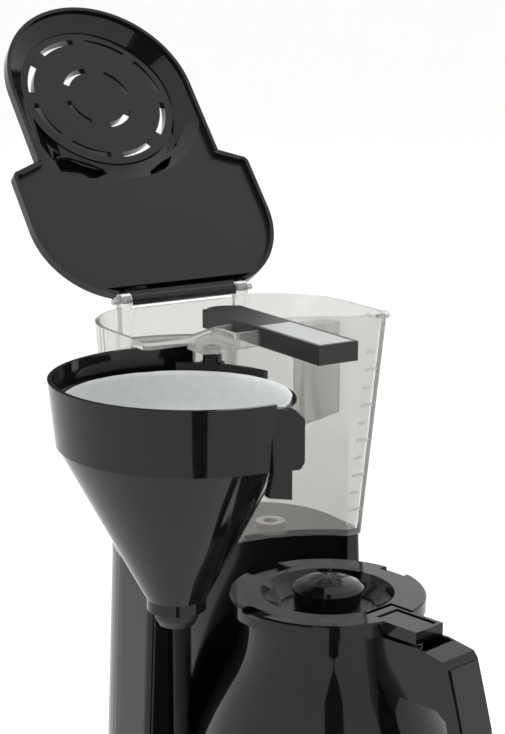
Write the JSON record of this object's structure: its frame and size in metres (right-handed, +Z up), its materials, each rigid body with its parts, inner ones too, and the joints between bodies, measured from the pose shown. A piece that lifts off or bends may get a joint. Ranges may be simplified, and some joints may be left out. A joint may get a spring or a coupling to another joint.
{
  "type": "drip coffee maker",
  "caption": "Drip coffee maker with a clear water tank, hinged vented lid, swing-out filter holder with paper filter, and an insulated jug with a lift-off lid and thumb lever.",
  "frame": {"origin": "On the table the feet stand on, midway across the width of the machine, 28 mm behind the jug's axis", "axes": "+X to the right as seen from the front, -Y towards the front where the jug stands, +Z up"},
  "size_m": [0.2185, 0.3664, 0.4748],
  "materials": {
    "black_plastic": "polished black moulded plastic",
    "holder_plastic": "satin black moulded plastic",
    "dark_plastic": "fine-textured black moulded plastic",
    "lid_grey": "satin charcoal moulded plastic",
    "clear_plastic": "clear moulded plastic",
    "pale_plastic": "milky moulded plastic",
    "riser_plastic": "natural moulded plastic",
    "valve_plastic": "blue moulded plastic",
    "switch_plastic": "polished black moulded plastic",
    "lamp_red": "translucent red plastic",
    "mark_grey": "printed grey ink",
    "silicone": "natural silicone rubber",
    "rubber": "black rubber",
    "steel": "plain steel",
    "brushed_steel": "brushed stainless steel",
    "aluminium": "cast aluminium",
    "brass": "plain brass",
    "ceramic_body": "unglazed ceramic",
    "paper": "bleached creped filter paper"
  },
  "bodies": {
    "machine": {"base_housing": "black_plastic", "bottom_cover": "dark_plastic", "rubber_feet": "rubber", "housing_screws": "steel", "jug_rest": "dark_plastic", "column_housing": "black_plastic", "column_front": "black_plastic", "heater_block": "aluminium", "thermostat": "ceramic_body", "thermal_fuse": "brass", "inlet_hose": "silicone", "outlet_hose": "silicone", "check_valve": "valve_plastic", "switch_bezel": "dark_plastic", "switch_lamp": "lamp_red", "cord_gland": "rubber", "tank": "clear_plastic", "tank_grommets": "silicone", "level_scale": "mark_grey", "riser_tube": "riser_plastic", "spout_arm": "dark_plastic", "spout_cover": "pale_plastic", "spout_bracket": "clear_plastic", "lower_bracket": "dark_plastic", "swing_pin": "steel", "hinge_pins": "steel"},
    "lid": {"lid_shell": "black_plastic", "lid_liner": "lid_grey", "vent_plate": "black_plastic"},
    "filter": {"filter_holder": "holder_plastic", "paper_filter": "paper", "drip_spring": "steel"},
    "drip_stop": {"drip_plunger": "dark_plastic", "drip_seal": "rubber"},
    "jug": {"jug_shell": "black_plastic", "jug_liner": "brushed_steel", "jug_base": "dark_plastic", "jug_handle": "black_plastic", "handle_panel": "dark_plastic", "lever_spring": "steel"},
    "jug_cap": {"jug_lid": "black_plastic", "jug_knob": "black_plastic", "lever_pin": "steel", "jug_neck_seal": "rubber"},
    "lever": {"thumb_lever": "black_plastic"},
    "rocker": {"power_switch": "switch_plastic"}
  },
  "joints": [
    {"name": "lid_hinge", "type": "hinge", "parent": "machine", "child": "lid", "pos_m": [0, 0.11, 0.326], "axis": [1, 0, 0], "range_deg": [0, 130.8]},
    {"name": "filter_swing", "type": "hinge", "parent": "machine", "child": "filter", "pos_m": [-0.0433, 0.0084, 0.3], "axis": [0, 0, 1], "range_deg": [0, 98.6]},
    {"name": "drip_rise", "type": "slide", "parent": "filter", "child": "drip_stop", "axis": [0, 0, 1], "range_m": [0, 0.00921], "deforming": ["drip_spring"]},
    {"name": "jug_slide", "type": "slide", "parent": "machine", "child": "jug", "axis": [0, -1, 0], "range_m": [0, 0.16]},
    {"name": "jug_lid_lift", "type": "slide", "parent": "jug", "child": "jug_cap", "axis": [0, 0, 1], "range_m": [0, 0.04]},
    {"name": "lever_press", "type": "hinge", "parent": "jug_cap", "child": "lever", "pos_m": [0.00763, -0.06727, 0.1962], "axis": [0.9816, 0.1908, 0], "range_deg": [0, 7], "stiffness_Nm_per_rad": 0.12, "springref_deg": -2.86, "deforming": ["lever_spring"]},
    {"name": "switch_rock", "type": "hinge", "parent": "machine", "child": "rocker", "pos_m": [0.0686, -0.002, 0.018], "axis": [0, 0, -1], "range_deg": [0, 16]}
  ],
  "couplings": [
    {"joint": "drip_rise", "follows": "filter_swing", "m_per_rad": 0.00535}
  ]
}
